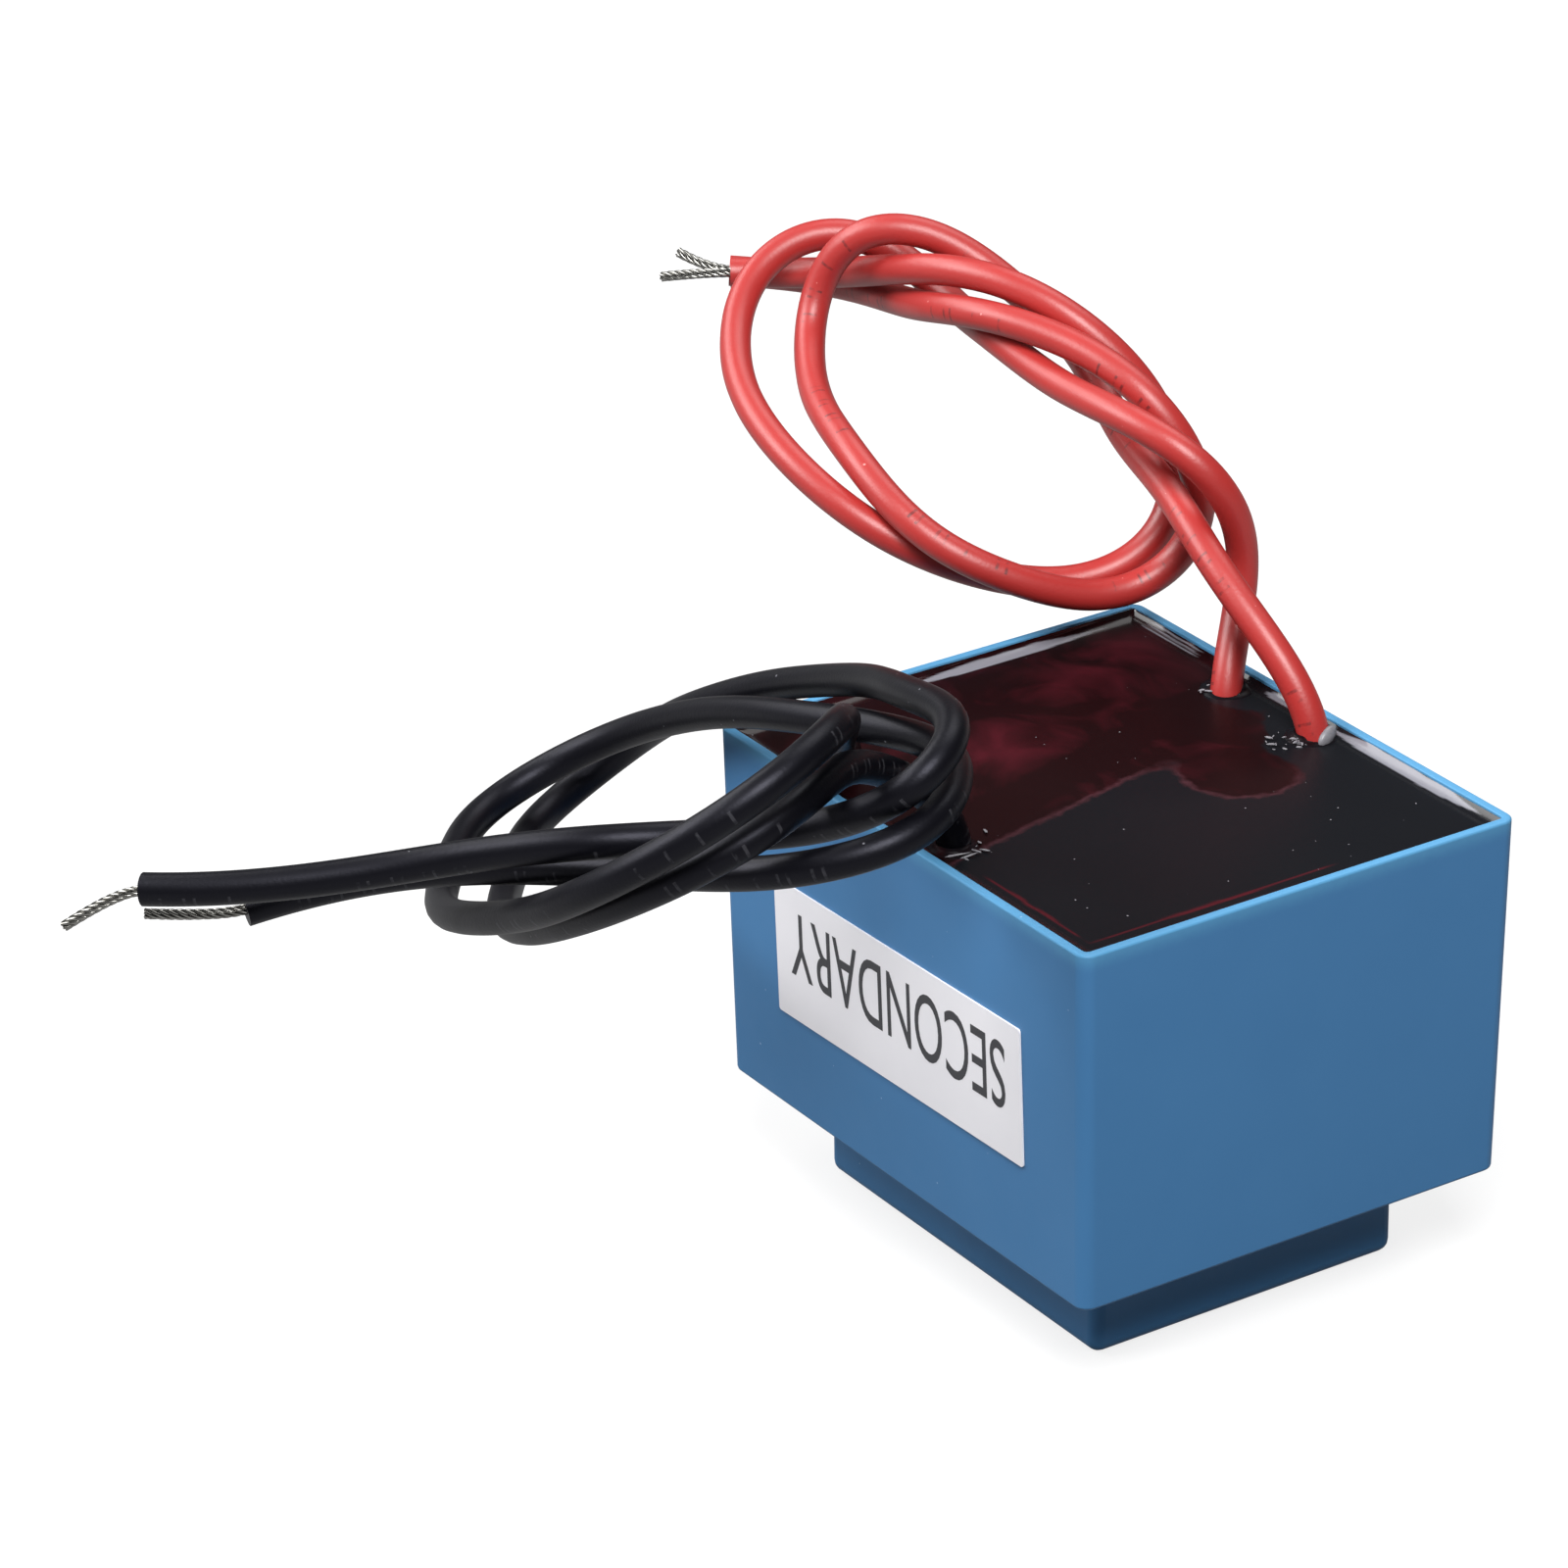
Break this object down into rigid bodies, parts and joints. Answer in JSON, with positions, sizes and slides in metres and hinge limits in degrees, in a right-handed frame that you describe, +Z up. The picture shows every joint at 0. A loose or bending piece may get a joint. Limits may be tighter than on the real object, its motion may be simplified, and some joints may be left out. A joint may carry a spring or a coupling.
{
  "type": "low voltage lighting transformer",
  "caption": "Potted low voltage lighting transformer: stepped blue moulded case filled with dark resin, with looped red input leads and black output leads that end in bare strands.",
  "frame": {"origin": "centre of the flat underside of the step", "axes": "+Z up out of the open side, +X along the case's long side, -Y out of the labelled face"},
  "size_m": [0.089, 0.095, 0.0604],
  "materials": {
    "case_plastic": "satin moulded blue plastic",
    "potting_resin": "glossy black epoxy with a dark red tint",
    "core_steel": "stacked electrical steel",
    "bobbin_plastic": "plain moulded nylon",
    "copper_wire": "enamelled copper",
    "coil_tape": "dark red polyester tape",
    "solder": "soldered joint",
    "red_insulation": "satin insulation",
    "black_insulation": "satin insulation",
    "tinned_copper": "twisted tinned strands",
    "label_paper": "white coated paper"
  },
  "bodies": {
    "root": {"case": "case_plastic", "potting_compound": "potting_resin", "core_e_stack": "core_steel", "core_i_stack": "core_steel", "bobbin": "bobbin_plastic", "primary_winding": "copper_wire", "primary_tape": "coil_tape", "secondary_winding": "copper_wire", "secondary_tape": "coil_tape", "red_joint_1": "solder", "red_joint_2": "solder", "black_joint_1": "solder", "black_joint_2": "solder", "red_lead_1": "red_insulation", "red_lead_2": "red_insulation", "black_lead_1": "black_insulation", "black_lead_2": "black_insulation", "red_strands_1": "tinned_copper", "red_strands_2": "tinned_copper", "black_strands_1": "tinned_copper", "black_strands_2": "tinned_copper", "label": "label_paper"}
  },
  "joints": []
}
